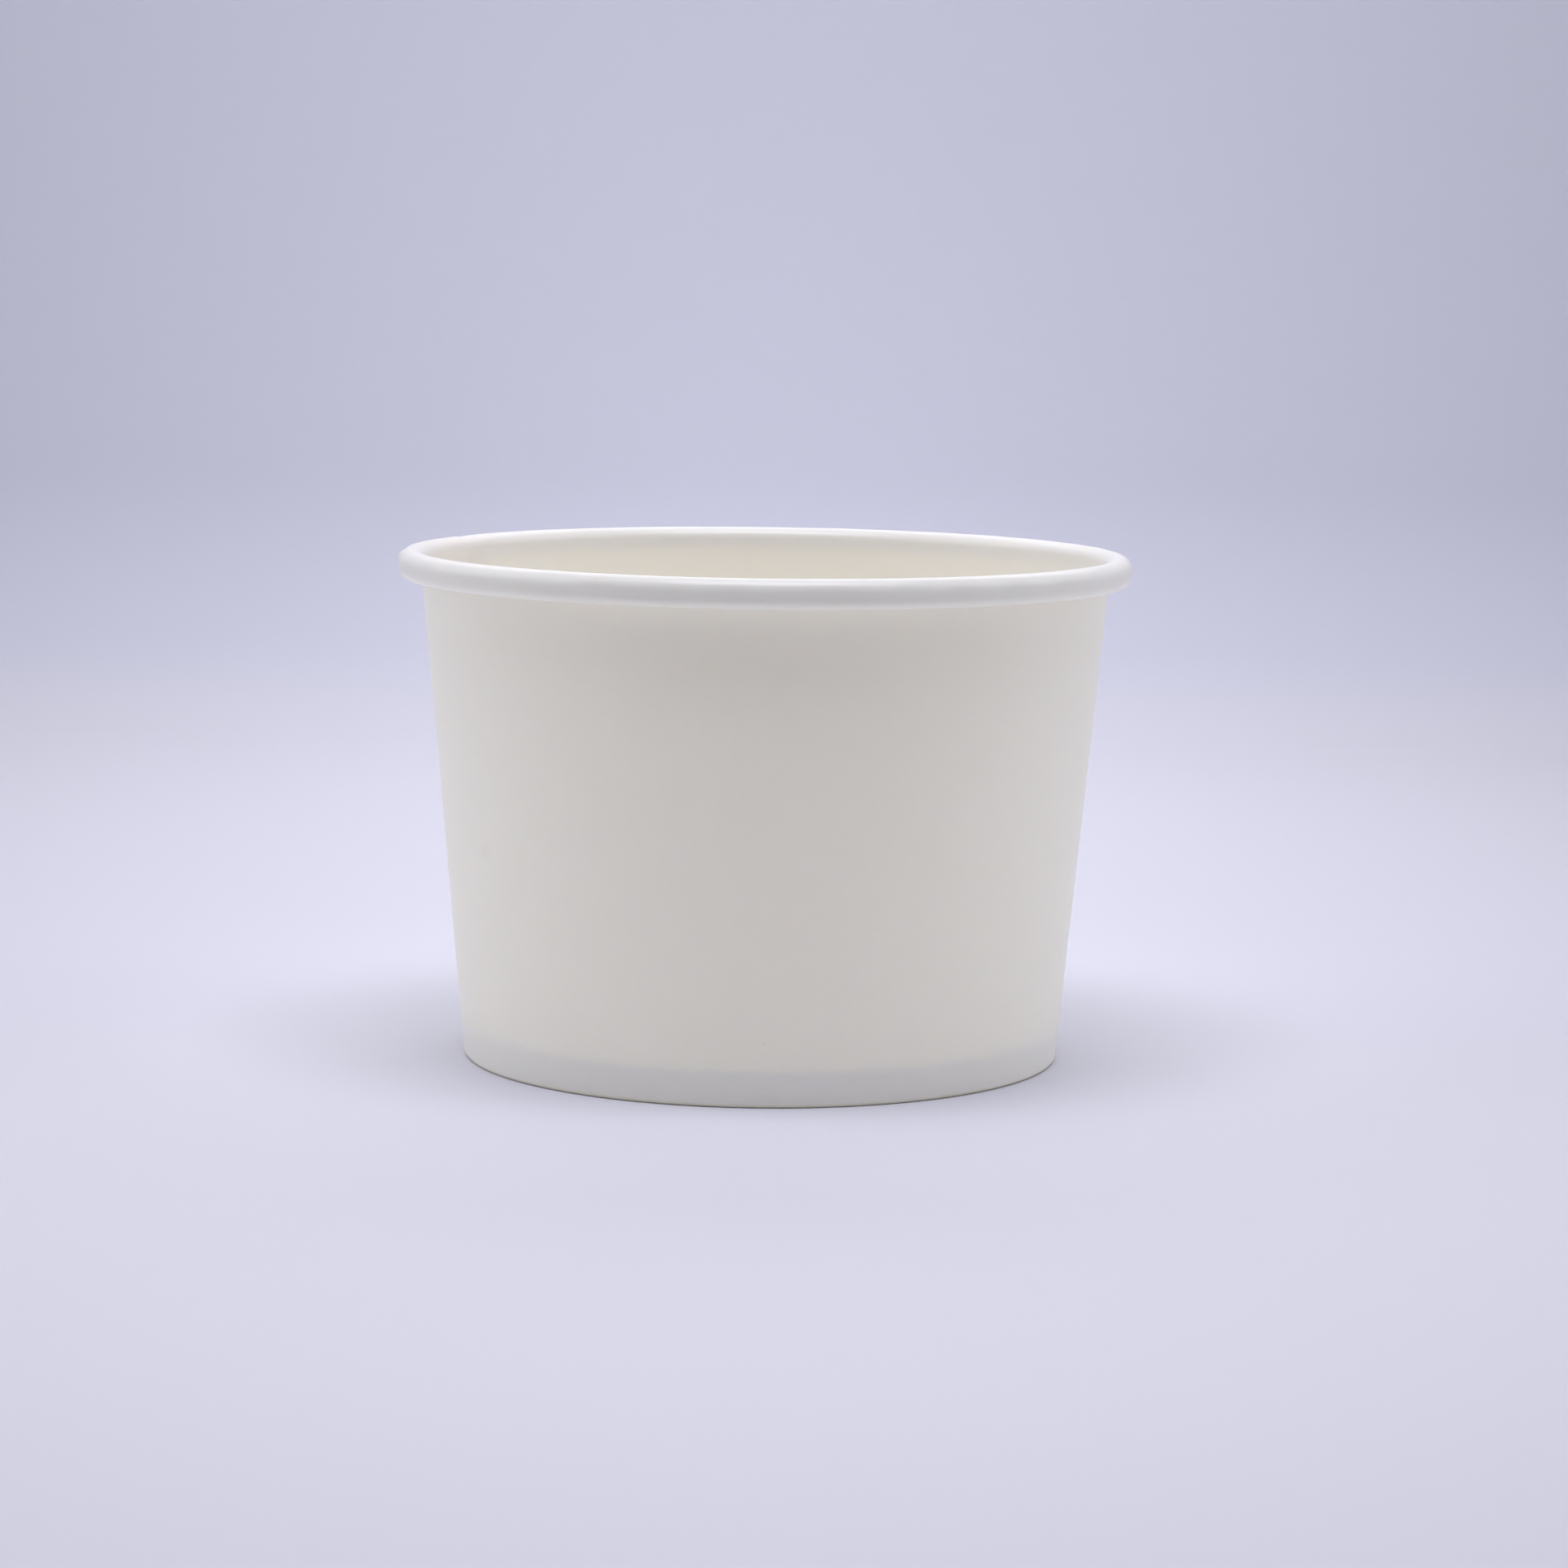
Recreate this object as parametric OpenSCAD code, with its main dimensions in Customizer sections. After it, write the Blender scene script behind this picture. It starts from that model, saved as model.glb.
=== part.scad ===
// Round paper deli container: a conical board wall with a rolled rim, a lapped side seam and a folded
// foot, and a board disc whose drawn-down skirt is sealed inside that foot.
// Millimetres. The tub stands on z = 0 with its axis on Z.

/* [Tub] */
// Height from the standing edge to the top of the rim
tub_h = 62.4; // [45:0.2:110]
// Outside diameter of the wall's cone at the standing edge
base_d = 73.6; // [66:0.2:82]
// Outside diameter of the wall's cone carried up to the top of the rim
wall_top_d = 84.9; // [78:0.1:94]
// Thickness of the coated board
board_t = 0.4; // [0.3:0.02:0.5]

/* [Rolled rim] */
// Width of the roll, from the wall's inner face to the outermost line of the rim
bead_w = 2.95; // [2.2:0.05:4.5]
// Length of the flattened front of the roll, between its upper and lower bends
bead_side = 0.65; // [0:0.05:2]
// Room between the tucked-in end of the roll and the wall
curl_gap = 0.05; // [0.02:0.01:0.2]

/* [Foot] */
// Height of the floor's underside above the standing edge
base_recess = 4.6; // [3.5:0.1:9]
// Inside radius of the two bends that turn the wall up into its hem
fold_in_r = 0.1; // [0.05:0.01:0.15]
// Inside radius of the bend between the floor and its skirt
disc_bend_r = 0.5; // [0.2:0.05:1.5]
// Thickness of the melted film between two sealed layers
seal_film = 0.03; // [0.01:0.01:0.06]
// Room between the hem's cut edge and the start of the floor's bend
hem_gap = 0.1; // [0.05:0.05:1]
// Room between the skirt's cut edge and the inside of the foot fold
skirt_gap = 0.2; // [0.1:0.05:1]

/* [Side seam] */
// Width of the overlap, along the wall at mid height
lap_w = 9; // [5:0.5:14]
// Width over which the outer flap climbs onto the inner one
ramp_w = 7; // [4:0.5:12]
// Direction of the inner flap's cut edge, from +X towards +Y
seam_az = 155; // [-180:5:180]

/* [Hidden] */
$fn = 180;

paper_white = [0.93, 0.91, 0.88];
curl_steps = 18;
fold_steps = 4;

// Wall cone: rise of the radius per millimetre of height, and its lean from the upright
taper = (wall_top_d - base_d) / (2 * tub_h);
lean = atan(taper);

// Depths of the layers at the foot, measured square to the wall from its outer face
wall_inner = board_t;
skirt_outer = wall_inner + seal_film;
skirt_inner = skirt_outer + board_t;
hem_outer = skirt_inner + seal_film;
hem_inner = hem_outer + board_t;

// Rolled rim: two bends that both touch the rim's outermost line
rim_r = face_r(wall_inner, tub_h) + bead_w;
upper_r = bead_w / (1 + 1 / cos(lean) - taper);
upper_c = [rim_r - upper_r, tub_h - upper_r];
lower_top = upper_c[1] - bead_side;
lower_r = (rim_r - face_r(-curl_gap, lower_top)) / (1 + 1 / cos(lean));
lower_c = [rim_r - lower_r, lower_top];
bead_bottom = lower_top - lower_r;

// Foot fold: outside radius of its bends, and their centres under the wall and under the hem
fold_out_r = fold_in_r + board_t;
fold_wall_c = [face_r(0, fold_out_r) - fold_out_r / cos(lean), fold_out_r];
fold_hem_c = [face_r(hem_inner, fold_out_r) + fold_out_r / cos(lean), fold_out_r];

// Floor: its top, and the bend into the skirt
floor_top = base_recess + board_t;
disc_out_r = disc_bend_r + board_t;
disc_c = [face_r(skirt_outer, floor_top - disc_out_r) - disc_out_r / cos(lean), floor_top - disc_out_r];
skirt_bottom = board_t + skirt_gap;
hem_top = disc_c[1] - hem_gap;

// Side seam: angles of its two parts, and the offset axis about which the outer flap climbs
seam_r = face_r(0, tub_h / 2);
lap_angle = lap_w / seam_r * 180 / PI;
ramp_angle = ramp_w / seam_r * 180 / PI;
climb_x = board_t * (2 * seam_r + board_t) / (2 * (board_t + seam_r * (1 - cos(ramp_angle))));
climb_angle = atan2(seam_r * sin(ramp_angle), seam_r * cos(ramp_angle) - climb_x);
flap_top = bead_bottom;
relief_top = flap_top - 2 * board_t;

// The flap is rooted a little way into the wall, and its climb starts a little way up, so that neither
// reaches through to the wall's inner face
flap_root = board_t / 10;
climb_part = 0.9;

// Radius at height z of the face that lies a given depth inside the wall's outer face
function face_r(depth, z) = base_d / 2 + taper * z - depth / cos(lean);

// Points of an arc about a centre, from angle a0 to angle a1
function arc(centre, r, a0, a1, steps) =
    [for (i = [0:steps]) centre + r * [cos(a0 + (a1 - a0) * i / steps), sin(a0 + (a1 - a0) * i / steps)]];

// Section of the sheet: hem, foot fold, wall and rolled rim, out along one face and back along the other
module sheet_section() {
    printed_face = concat(
        [[face_r(hem_inner, hem_top), hem_top]],
        arc(fold_hem_c, fold_out_r, 180 - lean, 270, fold_steps),
        arc(fold_wall_c, fold_out_r, 270, 360 - lean, fold_steps),
        arc(upper_c, upper_r - board_t, 180 - lean, 0, curl_steps),
        arc(lower_c, lower_r - board_t, 0, -180 - lean, curl_steps));
    food_face = concat(
        arc(lower_c, lower_r, -180 - lean, 0, curl_steps),
        arc(upper_c, upper_r, 0, 180 - lean, curl_steps),
        arc(fold_wall_c, fold_in_r, 360 - lean, 270, fold_steps),
        arc(fold_hem_c, fold_in_r, 270, 180 - lean, fold_steps),
        [[face_r(hem_outer, hem_top), hem_top]]);
    polygon(concat(printed_face, food_face));
}

// Section of a strip along the wall, between two depths and two heights
module wall_strip(depth_a, depth_b, z_a, z_b) {
    polygon([
        [face_r(depth_a, z_a), z_a],
        [face_r(depth_b, z_a), z_a],
        [face_r(depth_b, z_b), z_b],
        [face_r(depth_a, z_b), z_b]]);
}

// A strip turned about the offset axis through a given angle, ending on the seam line
module climbing(angle) {
    translate([climb_x, 0, 0])
        rotate_extrude(angle = angle, start = -angle)
            translate([-climb_x, 0])
                children();
}

// Outer flap of the lap seam: it climbs one board thickness, then lies on the inner flap
module outer_flap() {
    rotate_extrude(angle = lap_angle)
        wall_strip(flap_root, -board_t, fold_out_r, flap_top);
    climbing(climb_part * climb_angle)
        wall_strip(flap_root, -board_t, fold_out_r, flap_top);
}

// Room inside the climbing stretch, which leaves the inner flap's cut edge standing as a step
module flap_relief() {
    climbing(2 * climb_angle)
        wall_strip(2 * board_t, 0, floor_top, relief_top);
}

// One sheet: wall, rolled rim, folded hem and lap seam. The ring starts and ends opposite the seam.
module side_wall() {
    color(paper_white)
        rotate([0, 0, seam_az])
            difference() {
                union() {
                    rotate_extrude(start = 180)
                        sheet_section();
                    outer_flap();
                }
                flap_relief();
            }
}

// Floor disc with its edge drawn down into a skirt between the wall and the hem
module bottom_disc() {
    color(paper_white)
        rotate_extrude()
            polygon(concat(
                [[0, base_recess], [0, floor_top]],
                arc(disc_c, disc_out_r, 90, -lean, fold_steps),
                [[face_r(skirt_outer, skirt_bottom), skirt_bottom]],
                [[face_r(skirt_inner, skirt_bottom), skirt_bottom]],
                arc(disc_c, disc_bend_r, -lean, 90, fold_steps)));
}

side_wall();
bottom_disc();
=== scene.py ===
"""Looks of a paper deli container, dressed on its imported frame.

One sheet of coated board makes the side wall: it laps over itself in a side seam, is rolled outwards into
the rim and is folded inwards at the foot. The other piece is the floor disc, whose edge is drawn down into
a skirt that the folded foot clamps. Metres; the tub stands on z = 0 with its axis on Z, and the side that
faces the camera is -Y.
"""

import bpy
import numpy as np
from mathutils import Matrix, Vector


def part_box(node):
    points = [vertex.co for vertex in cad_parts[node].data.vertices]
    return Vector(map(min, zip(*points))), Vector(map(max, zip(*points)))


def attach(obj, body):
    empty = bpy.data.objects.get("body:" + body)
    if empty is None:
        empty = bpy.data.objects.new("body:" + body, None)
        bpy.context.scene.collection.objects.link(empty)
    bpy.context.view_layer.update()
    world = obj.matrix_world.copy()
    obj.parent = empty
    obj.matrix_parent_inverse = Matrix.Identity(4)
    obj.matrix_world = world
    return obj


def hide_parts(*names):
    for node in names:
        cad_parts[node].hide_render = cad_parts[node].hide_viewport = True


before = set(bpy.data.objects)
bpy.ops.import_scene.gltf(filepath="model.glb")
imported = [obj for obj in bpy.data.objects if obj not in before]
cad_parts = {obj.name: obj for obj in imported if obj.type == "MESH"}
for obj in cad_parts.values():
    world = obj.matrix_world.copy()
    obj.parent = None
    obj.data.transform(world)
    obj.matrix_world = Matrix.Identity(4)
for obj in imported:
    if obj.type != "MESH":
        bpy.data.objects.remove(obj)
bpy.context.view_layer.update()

MM = 0.001

# Heights that the frame gives
RIM_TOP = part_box("side_wall")[1].z
FLOOR_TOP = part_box("bottom_disc")[1].z

# The wall's cone: outer radius at the standing edge, and carried up to the top of the rim
BASE_R = 36.8 * MM
CONE_TOP_R = 42.45 * MM
BOARD = 0.40 * MM
FILM = 0.03 * MM
TAPER = (CONE_TOP_R - BASE_R) / RIM_TOP
LEAN = np.arctan(TAPER)

# Rolled rim
ROLL_WIDTH = 2.95 * MM
ROLL_FRONT = 0.65 * MM
ROLL_GAP = 0.05 * MM
# Shares of the way round the roll at which its shoulder and the middle of its front lie
ROLL_SHOULDER = 0.38
ROLL_MIDDLE = 0.53
# Shares of the roll over which the ripples of shoulder and front fade
SHOULDER_SPREAD = 0.09
MIDDLE_SPREAD = 0.10

# Folded foot and the floor's skirt
FOLD_INNER_R = 0.10 * MM
HEM_GAP = 0.10 * MM
SKIRT_BEND_R = 0.50 * MM
SKIRT_LIFT = 1.05 * MM
# Run from the middle of the fold over which the flaps at the seam stay lifted, and then come down
LIFT_RUN = 1.2 * MM
LIFT_FADE = 2.2 * MM

# Side seam: degrees from +X towards +Y of the inner flap's cut edge, and widths along the wall
SEAM_AZIMUTH = 155.0
LAP_WIDTH = 9.0 * MM
CLIMB_WIDTH = 7.0 * MM
SEAM_R = BASE_R + TAPER * RIM_TOP / 2
LAP = LAP_WIDTH / SEAM_R
CLIMB = CLIMB_WIDTH / SEAM_R
STEP = BOARD + FILM
# Share of the board's thickness left at the cut edges of the two flaps, where they run into the roll
SKIVE = 0.20
# Run below the roll at which the skiving starts, and over which it becomes full
SKIVE_START = 3.0 * MM
SKIVE_FADE = 1.5 * MM
# Share of the flap's climb that the floor's edge bulges into, and of its width where it turns back
BULGE = 0.8
BULGE_TURN = 0.7

# Small unevenness of the rolling and wrapping: heights of the waves
ROLL_WAVE = 0.055 * MM
WALL_WAVE = 0.030 * MM
OVAL = 0.06 * MM
# Their fewest and most waves per turn, and seeds
SHOULDER_RIPPLE = (10, 40, 11)
FRONT_RIPPLE = (7, 30, 12)
WALL_RIPPLE = (3, 9, 13)
WALL_BANDS = (5, 14, 14)
OVAL_RIPPLE = (2, 3, 15)
PLEAT_RIPPLE = (40, 90, 21)

# Knurl pressed into the hem: depth, teeth, start from the fold's middle, fades there and at the edge
KNURL = 0.07 * MM
KNURL_TEETH = 96
KNURL_START = 1.0 * MM
KNURL_FADE = 0.6 * MM
KNURL_EDGE = 0.3 * MM

# Floor: sag, pleats and their width, and the pressed ring with its inset and width
DISH = 0.18 * MM
PLEAT = 0.025 * MM
PLEAT_WIDTH = 1.5 * MM
PRESS_RING = 0.06 * MM
RING_INSET = 2.2 * MM
RING_WIDTH = 0.7 * MM

# Columns round the sheet and the disc
SHEET_COLUMNS = 580
DISC_COLUMNS = 360
# Points along each stretch of the two sections, how far the wall's crowd towards its ends, and the power
# that crowds the panel's towards its edge
HEM_ROWS = 6
FOLD_ROWS = 6
WALL_ROWS = 25
WALL_CROWD = 0.7
UPPER_ROWS = 17
FRONT_ROWS = 2
LOWER_ROWS = 15
PANEL_ROWS = 24
PANEL_POWER = 0.8
BEND_ROWS = 9
SKIRT_ROWS = 3
# Edges sharper than this are not smoothed, in degrees
SHARP_EDGE = 42.0


def ease(x):
    """Smooth step: 0 below 0, 1 above 1, and 3x^2 - 2x^3 between."""
    x = np.clip(x, 0.0, 1.0)
    return x * x * (3.0 - 2.0 * x)


def ripple(angle, fewest, most, seed):
    """Sum of cosines with whole waves per turn and seeded sizes, scaled to a mean square of 1."""
    dice = np.random.default_rng(seed)
    waves = np.arange(fewest, most + 1)
    size = dice.normal(size=waves.size)
    phase = dice.uniform(0.0, 2.0 * np.pi, waves.size)
    return np.cos(angle[..., None] * waves + phase) @ size / np.sqrt(np.sum(size * size) / 2.0)


def cone_r(depth, z):
    """Radius at height z of the face that lies a depth inside the wall's outer face, square to it."""
    return BASE_R + TAPER * z - depth / np.cos(LEAN)


def bend(centre, radius, start, stop, steps, side):
    """Arc about a centre between two angles in degrees; its normals are side times the way outwards."""
    angle = np.radians(np.linspace(start, stop, steps))
    outward = np.stack([np.cos(angle), np.sin(angle)], axis=-1)
    return np.asarray(centre) + radius * outward, side * outward


def straight(start, stop, steps, normal, crowd=0.0):
    """Points strictly between two ends, all with one normal.

    They are evenly spaced, or crowded towards both ends by taking off a share of sin(2 pi t) / 2 pi.
    """
    along = np.linspace(0.0, 1.0, steps + 2)[1:-1, None]
    along = along - crowd * np.sin(2.0 * np.pi * along) / (2.0 * np.pi)
    start, stop = np.asarray(start), np.asarray(stop)
    return start + (stop - start) * along, np.tile(np.asarray(normal), (steps, 1))


def sheet_section():
    """Middle line of the wall's board in the (radius, height) plane, with normals to its printed side.

    It runs from the hem's cut edge down, round the two bends of the foot, up the wall, over the upper bend
    of the roll, down its flat front and round the lower bend to the tucked-in edge. Also gives the number
    of points up to each stretch.
    """
    lean = np.degrees(LEAN)
    # The hem's middle line lies behind the wall, the skirt and half the hem, with two films between them
    hem_depth = 2.5 * BOARD + 2.0 * FILM
    fold_r = FOLD_INNER_R + BOARD
    wall_fold = (cone_r(0.0, fold_r) - fold_r / np.cos(LEAN), fold_r)
    hem_fold = (cone_r(hem_depth + BOARD / 2.0, fold_r) + fold_r / np.cos(LEAN), fold_r)
    hem_top = FLOOR_TOP - BOARD - SKIRT_BEND_R - HEM_GAP
    rim_r = cone_r(BOARD, RIM_TOP) + ROLL_WIDTH
    upper_r = ROLL_WIDTH / (1.0 + 1.0 / np.cos(LEAN) - TAPER)
    upper = (rim_r - upper_r, RIM_TOP - upper_r)
    front_foot = upper[1] - ROLL_FRONT
    lower_r = (rim_r - cone_r(-ROLL_GAP, front_foot)) / (1.0 + 1.0 / np.cos(LEAN))
    lower = (rim_r - lower_r, front_foot)
    outward = np.array([np.cos(LEAN), -np.sin(LEAN)])

    hem_edge = (np.array([[cone_r(hem_depth, hem_top), hem_top]]), -outward[None])
    fold_a = bend(hem_fold, fold_r - BOARD / 2.0, 180.0 - lean, 270.0, FOLD_ROWS, 1.0)
    fold_b = bend(wall_fold, fold_r - BOARD / 2.0, 270.0, 360.0 - lean, FOLD_ROWS, 1.0)
    roll_a = bend(upper, upper_r - BOARD / 2.0, 180.0 - lean, 0.0, UPPER_ROWS, -1.0)
    roll_b = bend(lower, lower_r - BOARD / 2.0, 0.0, -180.0 - lean, LOWER_ROWS, -1.0)
    stretches = [
        hem_edge,
        straight(hem_edge[0][0], fold_a[0][0], HEM_ROWS, -outward),
        fold_a,
        fold_b,
        straight(fold_b[0][-1], roll_a[0][0], WALL_ROWS, outward, WALL_CROWD),
        roll_a,
        straight(roll_a[0][-1], roll_b[0][0], FRONT_ROWS, (-1.0, 0.0)),
        roll_b,
    ]
    line = np.concatenate([points for points, _ in stretches])
    normals = np.concatenate([normal for _, normal in stretches])
    ends = np.cumsum([len(points) for points, _ in stretches])
    return line, normals, ends


def board_faces(rows, columns):
    """Quads of a closed strip of board: a tube of section rows round the sheet, and the two end caps.

    Vertex (i, j) is column i of the wrap and point j of the section, out along the printed face and back
    along the food face. The caps join opposite points of the two faces.
    """
    index = np.arange(columns * rows).reshape(columns, rows)
    here, right = index[:-1], index[1:]
    tube = np.stack([here, right, np.roll(right, -1, 1), np.roll(here, -1, 1)], axis=-1).reshape(-1, 4)
    half = rows // 2
    printed, food = index[:, :half], index[:, :half - 1:-1]
    caps = np.stack([printed[:, :-1], printed[:, 1:], food[:, 1:], food[:, :-1]], axis=-1)
    return tube, caps[0], caps[-1][:, ::-1]


def side_wall_surface():
    """The wrapped sheet: its section carried round the axis through one turn and the lap.

    A point lies at its section point plus an offset along the section's normal. The offset is half the
    board, plus the climb of the outer flap onto the inner one, plus ripples. On the roll the two flaps are
    skived against each other, each from thin at its cut edge to thick, so together they are one board
    thick. Both flaps are lifted along the wall's slope at the foot, so that the inner one rides on the
    outer one there and the foot still stands on z = 0.
    """
    line, normal, ends = sheet_section()
    rows = 2 * len(line)
    turn = np.linspace(0.0, 2.0 * np.pi + LAP, SHEET_COLUMNS)[:, None]
    azimuth = turn + np.radians(SEAM_AZIMUTH)

    run = np.concatenate([[0.0], np.cumsum(np.linalg.norm(np.diff(line, axis=0), axis=1))])
    fold_run = (run[ends[2] - 1] + run[ends[2]]) / 2.0
    wall_from, wall_to = run[ends[3] - 1], run[ends[4]]
    climb = ease((turn - (2.0 * np.pi - CLIMB)) / CLIMB)
    leave = 1.0 - ease((turn - LAP) / CLIMB)
    near_seam = np.maximum(climb, leave)
    near_fold = 1.0 - ease((np.abs(run - fold_run) - LIFT_RUN) / LIFT_FADE)
    lift = STEP * near_seam * near_fold
    up_wall = (run - wall_from) / (wall_to - wall_from)
    on_wall = np.sin(np.pi * np.clip(up_wall, 0.0, 1.0)) ** 2
    on_roll = ease((run - wall_to + SKIVE_START) / SKIVE_FADE)
    on_hem = ease((fold_run - run - KNURL_START) / KNURL_FADE) * ease(run / KNURL_EDGE)
    down_roll = np.clip((run - wall_to) / (run[-1] - wall_to), 0.0, 1.0)

    shoulder = np.exp(-((down_roll - ROLL_SHOULDER) / SHOULDER_SPREAD) ** 2)
    front = np.exp(-((down_roll - ROLL_MIDDLE) / MIDDLE_SPREAD) ** 2)
    offset = ROLL_WAVE * on_roll * (
        shoulder * ripple(azimuth, *SHOULDER_RIPPLE) + 0.5 * front * ripple(azimuth, *FRONT_RIPPLE))
    offset = offset + WALL_WAVE * on_wall * (
        ripple(azimuth, *WALL_RIPPLE)
        + 0.5 * ripple(azimuth, *WALL_BANDS) * np.cos(3.0 * np.pi * up_wall))
    offset = offset + KNURL * on_hem * (0.5 + 0.5 * np.cos(KNURL_TEETH * azimuth))
    sway = OVAL * np.clip(up_wall, 0.0, 1.0) * ripple(azimuth, *OVAL_RIPPLE) / 2.0

    across_lap = np.clip(np.where(turn > np.pi, turn - 2.0 * np.pi, turn) / LAP, 0.0, 1.0)
    inner_share = SKIVE + (1.0 - 2.0 * SKIVE) * across_lap
    printed_reach = BOARD / 2.0 + climb * (STEP * (1.0 - on_roll) + FILM * on_roll)
    printed_reach = printed_reach - leave * on_roll * BOARD * (1.0 - inner_share)
    food_reach = climb * (STEP - on_roll * BOARD * (1.0 - inner_share)) - BOARD / 2.0
    thinned = on_roll * np.where(turn > np.pi, climb * inner_share, leave * (1.0 - inner_share))

    def face(reach):
        """One face of the board, at its reach from the middle line."""
        reach = reach + offset
        radius = line[:, 0] + sway + reach * normal[:, 0] + TAPER * lift
        height = line[:, 1] + reach * normal[:, 1] + lift
        return np.stack([radius * np.cos(azimuth), radius * np.sin(azimuth), height], axis=-1)

    points = np.concatenate([face(printed_reach), face(food_reach)[:, ::-1]], axis=1)
    food_side = np.zeros((SHEET_COLUMNS, rows))
    food_side[:, rows // 2:] = 1.0
    thinned = np.concatenate([thinned, thinned[:, ::-1]], axis=1)
    along = np.concatenate([run, run[::-1]])
    flat = np.stack(np.broadcast_arrays(turn * SEAM_R, along), axis=-1)

    tube, start_cap, end_cap = board_faces(rows, SHEET_COLUMNS)
    section_of_face = np.tile(np.arange(rows), SHEET_COLUMNS - 1)
    raw = np.isin(section_of_face, [rows // 2 - 1, rows - 1])
    quads = np.concatenate([tube, start_cap, end_cap])
    cut = np.concatenate([raw, np.ones(len(start_cap) + len(end_cap), bool)])
    return points.reshape(-1, 3), quads, cut, flat.reshape(-1, 2), food_side.ravel(), thinned.ravel()


def bottom_disc_surface():
    """The floor: a closed profile turned about the axis, out over the top and back underneath.

    The panel sags by a shallow dish and carries a faint ring where it was pressed. The bend has small
    pleats from drawing, and it bulges into the room that the outer flap of the wall leaves beside the seam.
    """
    lean = np.degrees(LEAN)
    bend_r = SKIRT_BEND_R + BOARD
    bend_z = FLOOR_TOP - bend_r
    skirt_face = BOARD + FILM
    centre = (cone_r(skirt_face, bend_z) - bend_r / np.cos(LEAN), bend_z)
    reach = np.linspace(0.0, 1.0, PANEL_ROWS + 2)[1:-1] ** PANEL_POWER * centre[0]
    top = np.stack([reach, np.full_like(reach, FLOOR_TOP)], axis=-1)
    outer_bend, _ = bend(centre, bend_r, 90.0, -lean, BEND_ROWS, 1.0)
    inner_bend, _ = bend(centre, SKIRT_BEND_R, -lean, 90.0, BEND_ROWS, 1.0)
    outer_edge = np.array([cone_r(skirt_face, SKIRT_LIFT), SKIRT_LIFT])
    inner_edge = np.array([cone_r(skirt_face + BOARD, SKIRT_LIFT), SKIRT_LIFT])
    skirt_out, _ = straight(outer_bend[-1], outer_edge, SKIRT_ROWS, (1.0, 0.0))
    skirt_in, _ = straight(inner_edge, inner_bend[0], SKIRT_ROWS, (-1.0, 0.0))
    under = top[::-1] - np.array([0.0, BOARD])
    profile = np.concatenate(
        [top, outer_bend, skirt_out, outer_edge[None], inner_edge[None], skirt_in, inner_bend, under])

    azimuth = np.arange(DISC_COLUMNS)[:, None] * (2.0 * np.pi / DISC_COLUMNS)
    radius, height = profile[:, 0], profile[:, 1]
    share = np.clip(radius / centre[0], 0.0, 1.0)
    ring = np.exp(-((radius - centre[0] + RING_INSET) / RING_WIDTH) ** 2)
    on_panel = ease((height - bend_z) / bend_r)
    on_bend = on_panel * ease((radius - centre[0] + PLEAT_WIDTH) / PLEAT_WIDTH)
    turn = np.mod(azimuth - np.radians(SEAM_AZIMUTH), 2.0 * np.pi)
    beside_seam = (turn - 2.0 * np.pi + CLIMB) / CLIMB
    turned_back = ease((beside_seam - BULGE_TURN) / (1.0 - BULGE_TURN))
    bulge = BULGE * STEP * ease(beside_seam) * (1.0 - turned_back)
    pleats = ripple(azimuth, *PLEAT_RIPPLE) * on_bend * (1.0 - ease((radius - centre[0]) / bend_r))
    drop = on_panel * (DISH * (1.0 - share ** 2) ** 2 + PRESS_RING * ring) - PLEAT * pleats
    spread = radius + bulge * on_bend
    points = np.stack(
        [spread * np.cos(azimuth), spread * np.sin(azimuth), np.broadcast_to(height, spread.shape) - drop],
        axis=-1)

    rows = len(profile)
    index = np.arange(DISC_COLUMNS * rows).reshape(DISC_COLUMNS, rows)
    right = np.roll(index, -1, 0)
    quads = np.stack([index[:, 1:], right[:, 1:], right[:, :-1], index[:, :-1]], axis=-1).reshape(-1, 4)
    poles = np.array([[0.0, 0.0, FLOOR_TOP - DISH], [0.0, 0.0, FLOOR_TOP - BOARD - DISH]])
    top_pole = DISC_COLUMNS * rows
    fans = np.concatenate([
        np.stack([index[:, 0], right[:, 0], np.full(DISC_COLUMNS, top_pole)], axis=-1),
        np.stack([right[:, -1], index[:, -1], np.full(DISC_COLUMNS, top_pole + 1)], axis=-1)])
    edge_row = len(top) + len(outer_bend) + len(skirt_out)
    cut = np.tile(np.arange(rows - 1), DISC_COLUMNS) == edge_row
    every = np.concatenate([points.reshape(-1, 3), poles])
    food_side = np.zeros(len(every))
    food_side[:top_pole] = np.tile(np.arange(rows) <= edge_row, DISC_COLUMNS)
    food_side[top_pole] = 1.0
    return every, quads, fans, cut, every[:, :2], food_side, np.zeros(len(every))


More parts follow.
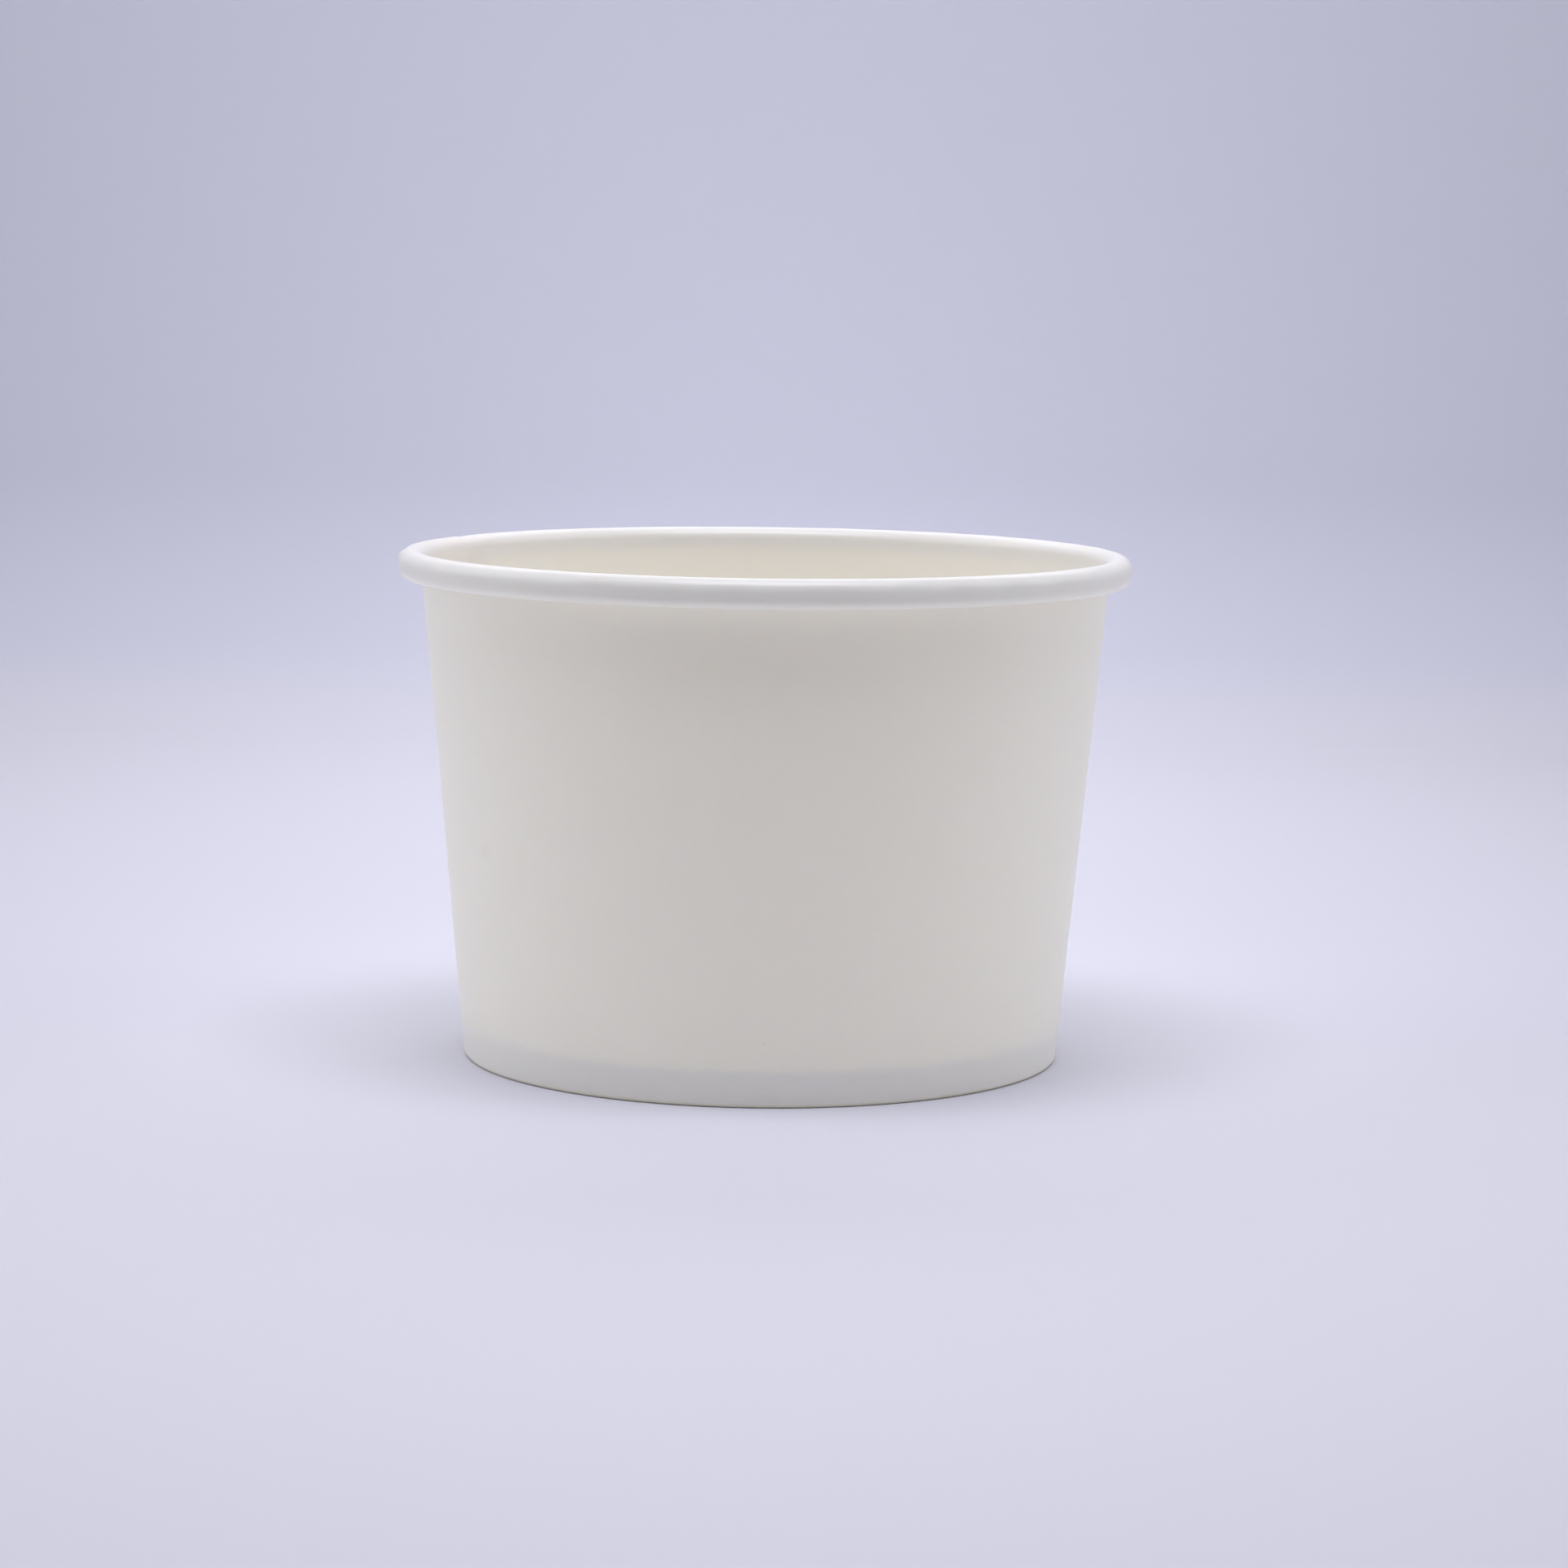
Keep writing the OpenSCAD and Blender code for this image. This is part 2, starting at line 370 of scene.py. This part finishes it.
def board_piece(name, points, quads, fans, cut, flat, food_side, thinned, materials):
    """Mesh object from whole arrays: vertices, quads and triangles, cut edges, flat UV and two marks.

    The marks tell the food side from the printed one, and give the share of the board that is skived off.
    """
    corners = np.concatenate([quads.ravel(), fans.ravel()]).astype(np.int32)
    sizes = np.concatenate([np.full(len(quads), 4), np.full(len(fans), 3)])
    starts = np.concatenate([[0], np.cumsum(sizes)[:-1]]).astype(np.int32)
    mesh = bpy.data.meshes.new(name)
    mesh.vertices.add(len(points))
    mesh.vertices.foreach_set("co", points.astype(np.float32).ravel())
    mesh.loops.add(len(corners))
    mesh.loops.foreach_set("vertex_index", corners)
    mesh.polygons.add(len(sizes))
    mesh.polygons.foreach_set("loop_start", starts)
    finish = np.zeros(len(sizes), np.int32)
    finish[:len(cut)] = cut
    mesh.polygons.foreach_set("material_index", finish)
    mesh.update(calc_edges=True)
    sheet_uv = mesh.uv_layers.new(name="flat_sheet").uv
    sheet_uv.foreach_set("vector", flat[corners].astype(np.float32).ravel())
    for mark_name, mark in (("food_side", food_side), ("thinned", thinned)):
        mark_data = mesh.attributes.new(mark_name, "FLOAT", "POINT").data
        mark_data.foreach_set("value", mark.astype(np.float32))
    mesh.shade_smooth()
    mesh.set_sharp_from_angle(angle=np.radians(SHARP_EDGE))
    for material in materials:
        mesh.materials.append(material)
    piece = bpy.data.objects.new(name, mesh)
    bpy.context.scene.collection.objects.link(piece)
    return piece


def node(tree, kind, sockets=(), **settings):
    """A shader node with some of its settings and input sockets set."""
    made = tree.nodes.new(kind)
    for setting, value in settings.items():
        setattr(made, setting, value)
    for socket, value in dict(sockets).items():
        made.inputs[socket].default_value = value
    return made


def blank_material(name):
    """A node material with only its main shader, and that shader."""
    material = bpy.data.materials.new(name)
    material.use_nodes = True
    tree = material.node_tree
    return material, tree, tree.nodes["Principled BSDF"]


def smooth_fade(tree, value, start, stop, first=0.0, last=1.0):
    """A value that goes by a smooth step from first to last while another goes from start to stop."""
    fade = node(tree, "ShaderNodeMapRange",
                {"From Min": start, "From Max": stop, "To Min": first, "To Max": last},
                interpolation_type="SMOOTHSTEP")
    tree.links.new(value, fade.inputs["Value"])
    return fade.outputs["Result"]


def spot(tree, place, near, far):
    """A soft round spot on Object coordinates: 1 within near of a place, 0 beyond far."""
    apart = node(tree, "ShaderNodeVectorMath", {1: place}, operation="DISTANCE")
    tree.links.new(node(tree, "ShaderNodeTexCoord").outputs["Object"], apart.inputs[0])
    return smooth_fade(tree, apart.outputs["Value"], near, far, 1.0, 0.0)


def stain_and_shade(tree, colour, mask, depth, tint):
    """The colour mixed towards a tint where the mask is, to a given depth: used for stains and for painted
    shade.
    """
    weigh = node(tree, "ShaderNodeMath", {1: depth}, operation="MULTIPLY")
    mix = node(tree, "ShaderNodeMix", {"B": tint}, data_type="RGBA")
    tree.links.new(mask, weigh.inputs[0])
    tree.links.new(weigh.outputs[0], mix.inputs["Factor"])
    tree.links.new(colour, mix.inputs["A"])
    return mix.outputs["Result"]


def low_band(tree, full, gone):
    """A level band on Object coordinates: 1 below one height, 0 above another."""
    place = node(tree, "ShaderNodeSeparateXYZ")
    tree.links.new(node(tree, "ShaderNodeTexCoord").outputs["Object"], place.inputs["Vector"])
    return smooth_fade(tree, place.outputs["Z"], full, gone, 1.0, 0.0)


# Tones of the pulp in the two pieces, and of the raw edges
WALL_LIGHT = (0.943, 0.904, 0.826, 1.0)
WALL_DARK = (0.931, 0.891, 0.810, 1.0)
DISC_LIGHT = (0.941, 0.902, 0.823, 1.0)
DISC_DARK = (0.928, 0.888, 0.806, 1.0)
EDGE_LIGHT = (0.78, 0.74, 0.66, 1.0)
EDGE_DARK = (0.66, 0.61, 0.52, 1.0)
EDGE_ROUGHNESS = 0.85
# Coated board: tint of the printed side, which leaves the food side warmer as painted warm light for the
# bounces inside the tub; roughness of it and of the food side's film, and scatter
PRINTED_TINT = (0.962, 0.988, 1.0, 1.0)
PRINTED_ROUGHNESS = 0.54
FILM_ROUGHNESS = 0.28
ROUGHNESS_GRAIN = 0.10
SCATTER_RADIUS = (1.0, 0.95, 0.87)
SCATTER_SCALE = 0.38 * MM
# Skived share of the board at which no light passes through: the flap that lies under it makes it up
OPAQUE_SHARE = 0.25


def coated_board(name, light, dark, marks=(), painted_foot_shade=None):
    """White board that lets some light through.

    It has cloudy pulp, fine fibres raised in the coating, and a smoother film on the food side. The food
    side is left warmer than the printed side: painted warm light, for the light that warms as it bounces
    inside the tub. It can carry marks, and a painted shade low on the foot.
    """
    material, tree, shader = blank_material(name)
    link = tree.links.new
    coords = node(tree, "ShaderNodeTexCoord").outputs["Object"]
    clouds = node(tree, "ShaderNodeTexNoise", {"Scale": 240.0, "Detail": 4.0, "Roughness": 0.6})
    fibres = node(tree, "ShaderNodeTexNoise", {"Scale": 2600.0, "Detail": 4.0, "Roughness": 0.65})
    link(coords, clouds.inputs["Vector"])
    link(coords, fibres.inputs["Vector"])
    white = node(tree, "ShaderNodeMix", {"A": light, "B": dark}, data_type="RGBA")
    link(clouds.outputs["Fac"], white.inputs["Factor"])
    food = node(tree, "ShaderNodeAttribute", attribute_name="food_side")
    # The printed side is made cooler, so the food side keeps a warmer tone: painted warm light for the
    # bounces inside the tub
    cooler = node(tree, "ShaderNodeMix", {"Factor": 1.0, "B": PRINTED_TINT}, data_type="RGBA",
                  blend_type="MULTIPLY")
    sided = node(tree, "ShaderNodeMix", data_type="RGBA")
    link(white.outputs["Result"], cooler.inputs["A"])
    link(food.outputs["Fac"], sided.inputs["Factor"])
    link(cooler.outputs["Result"], sided.inputs["A"])
    link(white.outputs["Result"], sided.inputs["B"])
    colour = sided.outputs["Result"]
    for place, near, far, depth, tint in marks:
        colour = stain_and_shade(tree, colour, spot(tree, place, near, far), depth, tint)
    # Painted shade: a warm dark band low on the foot, for the contact shadow under the fold
    if painted_foot_shade:
        full, gone, depth, tint = painted_foot_shade
        colour = stain_and_shade(tree, colour, low_band(tree, full, gone), depth, tint)
    link(colour, shader.inputs["Base Color"])

    film = node(tree, "ShaderNodeMapRange", {"To Min": PRINTED_ROUGHNESS, "To Max": FILM_ROUGHNESS})
    uneven = node(tree, "ShaderNodeMath", {1: ROUGHNESS_GRAIN}, operation="MULTIPLY_ADD")
    link(food.outputs["Fac"], film.inputs["Value"])
    link(fibres.outputs["Fac"], uneven.inputs[0])
    link(film.outputs["Result"], uneven.inputs[2])
    link(uneven.outputs[0], shader.inputs["Roughness"])

    cockle = node(tree, "ShaderNodeBump", {"Strength": 0.35, "Distance": 0.02 * MM})
    grain = node(tree, "ShaderNodeBump", {"Strength": 0.30, "Distance": 0.008 * MM})
    link(clouds.outputs["Fac"], cockle.inputs["Height"])
    link(fibres.outputs["Fac"], grain.inputs["Height"])
    link(cockle.outputs["Normal"], grain.inputs["Normal"])
    link(grain.outputs["Normal"], shader.inputs["Normal"])

    thinned = node(tree, "ShaderNodeAttribute", attribute_name="thinned")
    clear = node(tree, "ShaderNodeMapRange", {"From Max": OPAQUE_SHARE, "To Min": 1.0, "To Max": 0.0})
    link(thinned.outputs["Fac"], clear.inputs["Value"])
    link(clear.outputs["Result"], shader.inputs["Subsurface Weight"])
    shader.inputs["Subsurface Radius"].default_value = SCATTER_RADIUS
    shader.inputs["Subsurface Scale"].default_value = SCATTER_SCALE
    return material


def cut_edge(name):
    """Raw edge of the board: warmer bare pulp in thin layers, rough."""
    material, tree, shader = blank_material(name)
    coords = node(tree, "ShaderNodeTexCoord").outputs["Object"]
    pulp = node(tree, "ShaderNodeTexNoise", {"Scale": 5200.0, "Detail": 3.0})
    tone = node(tree, "ShaderNodeMix", {"A": EDGE_LIGHT, "B": EDGE_DARK}, data_type="RGBA")
    rough = node(tree, "ShaderNodeBump", {"Strength": 0.6, "Distance": 0.02 * MM})
    tree.links.new(coords, pulp.inputs["Vector"])
    tree.links.new(pulp.outputs["Fac"], tone.inputs["Factor"])
    tree.links.new(tone.outputs["Result"], shader.inputs["Base Color"])
    tree.links.new(pulp.outputs["Fac"], rough.inputs["Height"])
    tree.links.new(rough.outputs["Normal"], shader.inputs["Normal"])
    shader.inputs["Roughness"].default_value = EDGE_ROUGHNESS
    return material


def wall_place(azimuth, height):
    """A place on the wall's outer face, from its azimuth in degrees from the front and its height."""
    angle = np.radians(azimuth)
    radius = cone_r(0.0, height)
    return (radius * np.sin(angle), -radius * np.cos(angle), height)


# Marks on the wall: place, full radius, faded radius, depth and tint
scuff = (wall_place(-57.0, 27.8 * MM), 0.3 * MM, 2.0 * MM, 0.05, (0.60, 0.50, 0.40, 1.0))
speck = (wall_place(0.9, 7.8 * MM), 0.05 * MM, 0.16 * MM, 0.25, (0.50, 0.28, 0.22, 1.0))
# Painted shade along the foot's fold: a warm dark band low on the wall, where the contact shadow under the
# fold falls. Full height, faded height, depth and tint
foot_painted_shade = (0.20 * MM, 0.55 * MM, 0.60, (0.70, 0.66, 0.50, 1.0))
wall_board = coated_board("wall_board", WALL_LIGHT, WALL_DARK, (scuff, speck), foot_painted_shade)
floor_board = coated_board("floor_board", DISC_LIGHT, DISC_DARK)
raw_edge = cut_edge("raw_board_edge")

# The two pieces of the tub
wall_points, wall_quads, wall_cut, wall_flat, wall_food, wall_thinned = side_wall_surface()
no_fans = np.zeros((0, 3), np.int32)
wall = board_piece("lapped_wall", wall_points, wall_quads, no_fans, wall_cut, wall_flat, wall_food,
                   wall_thinned, (wall_board, raw_edge))
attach(wall, "root")
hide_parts("side_wall")

disc = board_piece("floor_disc", *bottom_disc_surface(), (floor_board, raw_edge))
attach(disc, "root")
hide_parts("bottom_disc")

# Stage: a pale round floor that sweeps up into a wall all round, set back from the tub
STAGE_CENTRE_Y = -0.40
STAGE_FLAT_R = 0.74
STAGE_SWEEP_R = 0.05
STAGE_WALL = 0.47
STAGE_COLUMNS = 128
# Radii of the floor's inner rings, and points up the sweep and its wall
STAGE_RINGS = (0.0, 0.2, 0.4, 0.6)
SWEEP_ROWS = 25
STAGE_WALL_ROWS = 5


def stage_surface():
    """A profile turned about an upright axis: flat floor, quarter circle, upright wall."""
    floor_r = np.array([*STAGE_RINGS, STAGE_FLAT_R])
    floor_line = np.stack([floor_r, np.zeros_like(floor_r)], axis=-1)
    sweep, _ = bend((STAGE_FLAT_R, STAGE_SWEEP_R), STAGE_SWEEP_R, -90.0, 0.0, SWEEP_ROWS, 1.0)
    wall_z = STAGE_SWEEP_R + np.linspace(0.0, 1.0, STAGE_WALL_ROWS + 1)[1:] * STAGE_WALL
    wall_line = np.stack([np.full_like(wall_z, STAGE_FLAT_R + STAGE_SWEEP_R), wall_z], axis=-1)
    profile = np.concatenate([floor_line, sweep[1:], wall_line])
    azimuth = np.linspace(0.0, 2.0 * np.pi, STAGE_COLUMNS, endpoint=False)[:, None]
    radius, height = profile[:, 0], profile[:, 1]
    points = np.stack([radius * np.cos(azimuth), STAGE_CENTRE_Y + radius * np.sin(azimuth),
                       np.broadcast_to(height, (STAGE_COLUMNS, len(profile)))], axis=-1)
    index = np.arange(points.shape[0] * points.shape[1]).reshape(points.shape[:2])
    right = np.roll(index, -1, 0)
    quads = np.stack([index[:, :-1], index[:, 1:], right[:, 1:], right[:, :-1]], axis=-1)
    return points.reshape(-1, 3), quads.reshape(-1, 4)


# Tones of the stage, with painted shade: floor before and behind the tub, deeper behind it; backdrop,
# deeper where its upright wall gets less light; and what it throws back on the tub
STAGE_FRONT = (0.800, 0.797, 0.856, 1.0)
STAGE_BACK = (0.747, 0.746, 0.822, 1.0)
BACKDROP = (0.703, 0.707, 0.813, 1.0)
BOUNCE = (0.862, 0.853, 0.866, 1.0)
# Y range over which the first tone gives way to the second, and height at which the backdrop's is full
STAGE_TURN = (-0.06, 0.05)
BACKDROP_RISE = 0.018
# Painted shade deepening away from the tub, for the light's fall-off: stretch and shift of the coordinates,
# its reach, and its depth there
DEEPEN_STRETCH = (2.90, 0.50, 2.26)
DEEPEN_SHIFT = (0.0, -0.110, 0.0)
DEEPEN_REACH = 0.6
DEEPEN_MOST = 0.3
# Painted light, a glow far from the tub: its middle, the distances at which it starts and is full, and its
# strength
GLOW_MIDDLE = (0.0, 0.10, 0.0)
GLOW_START = 0.365
GLOW_FULL = 0.56
GLOW_MOST = 0.74
STAGE_ROUGHNESS = 0.75


def stage_paper(name):
    """Matt pale backdrop paper with painted shade, deeper up its wall and away from the tub, and seen
    through from behind.

    The light that it throws back on the tub has one paler and more neutral tone. The part far from the
    tub, which the lamps hardly reach, is kept pale by painted light, a glow that cameras alone see, for
    views from other sides.
    """
    material, tree, shader = blank_material(name)
    link = tree.links.new
    coords = node(tree, "ShaderNodeTexCoord").outputs["Object"]
    place = node(tree, "ShaderNodeSeparateXYZ")
    looked_at = node(tree, "ShaderNodeLightPath")
    link(coords, place.inputs["Vector"])

    # Tone by place, with painted shade behind the tub and up the backdrop
    ground = node(tree, "ShaderNodeMix", {"A": STAGE_FRONT, "B": STAGE_BACK}, data_type="RGBA")
    tone = node(tree, "ShaderNodeMix", {"B": BACKDROP}, data_type="RGBA")
    link(smooth_fade(tree, place.outputs["Y"], *STAGE_TURN), ground.inputs["Factor"])
    link(smooth_fade(tree, place.outputs["Z"], 0.0, BACKDROP_RISE), tone.inputs["Factor"])
    link(ground.outputs["Result"], tone.inputs["A"])

    # Painted shade, deeper away from the tub
    stretch = node(tree, "ShaderNodeVectorMath", {1: DEEPEN_STRETCH, 2: DEEPEN_SHIFT},
                   operation="MULTIPLY_ADD")
    away = node(tree, "ShaderNodeVectorMath", operation="LENGTH")
    fade = node(tree, "ShaderNodeMapRange", {"From Max": DEEPEN_REACH, "To Max": DEEPEN_MOST})
    deep = node(tree, "ShaderNodeMix", {"B": (0.0, 0.0, 0.0, 1.0)}, data_type="RGBA")
    link(coords, stretch.inputs[0])
    link(stretch.outputs["Vector"], away.inputs[0])
    link(away.outputs["Value"], fade.inputs["Value"])
    link(fade.outputs["Result"], deep.inputs["Factor"])
    link(tone.outputs["Result"], deep.inputs["A"])

    # One paler tone for the light that it throws back
    mirrored = node(tree, "ShaderNodeMath", operation="MAXIMUM")
    shown = node(tree, "ShaderNodeMix", {"A": BOUNCE}, data_type="RGBA")
    link(looked_at.outputs["Is Camera Ray"], mirrored.inputs[0])
    link(looked_at.outputs["Is Glossy Ray"], mirrored.inputs[1])
    link(mirrored.outputs["Value"], shown.inputs["Factor"])
    link(deep.outputs["Result"], shown.inputs["B"])
    link(shown.outputs["Result"], shader.inputs["Base Color"])
    shader.inputs["Roughness"].default_value = STAGE_ROUGHNESS

    # Painted light: a glow far from the tub, for cameras only, so it is no lamp
    apart = node(tree, "ShaderNodeVectorMath", {1: GLOW_MIDDLE}, operation="DISTANCE")
    far = smooth_fade(tree, apart.outputs["Value"], GLOW_START, GLOW_FULL, 0.0, GLOW_MOST)
    glow = node(tree, "ShaderNodeMath", operation="MULTIPLY")
    link(coords, apart.inputs[0])
    link(looked_at.outputs["Is Camera Ray"], glow.inputs[0])
    link(far, glow.inputs[1])
    link(glow.outputs["Value"], shader.inputs["Emission Strength"])
    link(shown.outputs["Result"], shader.inputs["Emission Color"])
    material.cycles.emission_sampling = "NONE"

    # Clear from behind
    clear = node(tree, "ShaderNodeBsdfTransparent")
    pick = node(tree, "ShaderNodeMixShader")
    link(node(tree, "ShaderNodeNewGeometry").outputs["Backfacing"], pick.inputs["Fac"])
    link(shader.outputs["BSDF"], pick.inputs[1])
    link(clear.outputs["BSDF"], pick.inputs[2])
    link(pick.outputs["Shader"], tree.nodes["Material Output"].inputs["Surface"])
    return material


stage_points, stage_quads = stage_surface()
stage_mesh = bpy.data.meshes.new("stage")
stage_mesh.from_pydata(stage_points, [], stage_quads)
stage_mesh.shade_smooth()
stage_mesh.materials.append(stage_paper("stage_paper"))
stage = bpy.data.objects.new("stage", stage_mesh)
bpy.context.scene.collection.objects.link(stage)
stage.visible_shadow = False

# Lamps: name, place, point aimed at, width and height, power in watts, colour
LAMPS = (
    ("overhead", (0.0, 0.05, 0.60), (0.0, 0.05, 0.0), (0.35, 0.35), 0.27, (0.98, 0.98, 1.0)),
    ("high_front", (0.0, -0.15, 0.65), (0.0, 0.0, 0.03), (0.50, 0.25), 2.80, (0.87, 0.87, 1.0)),
    ("back_mid", (0.0, 0.29, 0.34), (0.0, 0.03, 0.03), (0.50, 0.22), 0.42, (1.0, 0.99, 1.0)),
    ("left_box", (-0.54, 0.03, 0.46), (0.0, 0.0, 0.04), (0.50, 0.50), 0.80, (0.96, 0.97, 1.0)),
    ("right_box", (0.54, 0.03, 0.46), (0.0, 0.0, 0.04), (0.50, 0.50), 0.68, (0.96, 0.97, 1.0)),
)
for lamp_name, place, aim, size, power, colour in LAMPS:
    lamp = bpy.data.lights.new(lamp_name, "AREA")
    lamp.shape = "RECTANGLE"
    lamp.size, lamp.size_y = size
    lamp.energy = power
    lamp.color = colour
    holder = bpy.data.objects.new(lamp_name, lamp)
    holder.location = place
    holder.rotation_euler = (Vector(aim) - Vector(place)).to_track_quat("-Z", "Y").to_euler()
    holder.visible_camera = False
    bpy.context.scene.collection.objects.link(holder)

# World: its tone, and its strength as a light and as cameras see it past the stage
SKY_TONE = (0.90, 0.91, 1.0, 1.0)
SKY_LIGHT = 0.02
SKY_SEEN = 0.60

world = bpy.data.worlds.new("studio")
bpy.context.scene.world = world
world.use_nodes = True
sky_tree = world.node_tree
sky = sky_tree.nodes["Background"]
sky.inputs["Color"].default_value = SKY_TONE
sky_seen = node(sky_tree, "ShaderNodeLightPath").outputs["Is Camera Ray"]
sky_strength = node(sky_tree, "ShaderNodeMapRange", {"To Min": SKY_LIGHT, "To Max": SKY_SEEN})
sky_tree.links.new(sky_seen, sky_strength.inputs["Value"])
sky_tree.links.new(sky_strength.outputs["Result"], sky.inputs["Strength"])

# Camera: where it stands, how it is turned, and its lens
CAMERA_PLACE = (0.0, -0.5325, 0.10103)
CAMERA_YAW = np.radians(0.28)
CAMERA_PITCH = np.radians(7.229)
CAMERA_ROLL = np.radians(0.752)
SENSOR = 36.0
IMAGE_SIDE = 1932.0
FOCAL_PIXELS = 5337.0

ahead = np.array([np.sin(CAMERA_YAW) * np.cos(CAMERA_PITCH), np.cos(CAMERA_YAW) * np.cos(CAMERA_PITCH),
                  -np.sin(CAMERA_PITCH)])
level = np.array([np.cos(CAMERA_YAW), -np.sin(CAMERA_YAW), 0.0])
above = np.cross(level, ahead)
right_hand = np.cos(CAMERA_ROLL) * level + np.sin(CAMERA_ROLL) * above
upward = np.cos(CAMERA_ROLL) * above - np.sin(CAMERA_ROLL) * level
turned = np.stack([right_hand, upward, -ahead], axis=1)
lens = bpy.data.cameras.new("camera")
lens.sensor_width = SENSOR
lens.lens = SENSOR * FOCAL_PIXELS / IMAGE_SIDE
lens.clip_start, lens.clip_end = 0.01, 10.0
camera = bpy.data.objects.new("camera", lens)
camera.matrix_world = Matrix.Translation(CAMERA_PLACE) @ Matrix(turned.tolist()).to_4x4()
bpy.context.scene.collection.objects.link(camera)
bpy.context.scene.camera = camera

bpy.context.scene.view_settings.view_transform = "Standard"
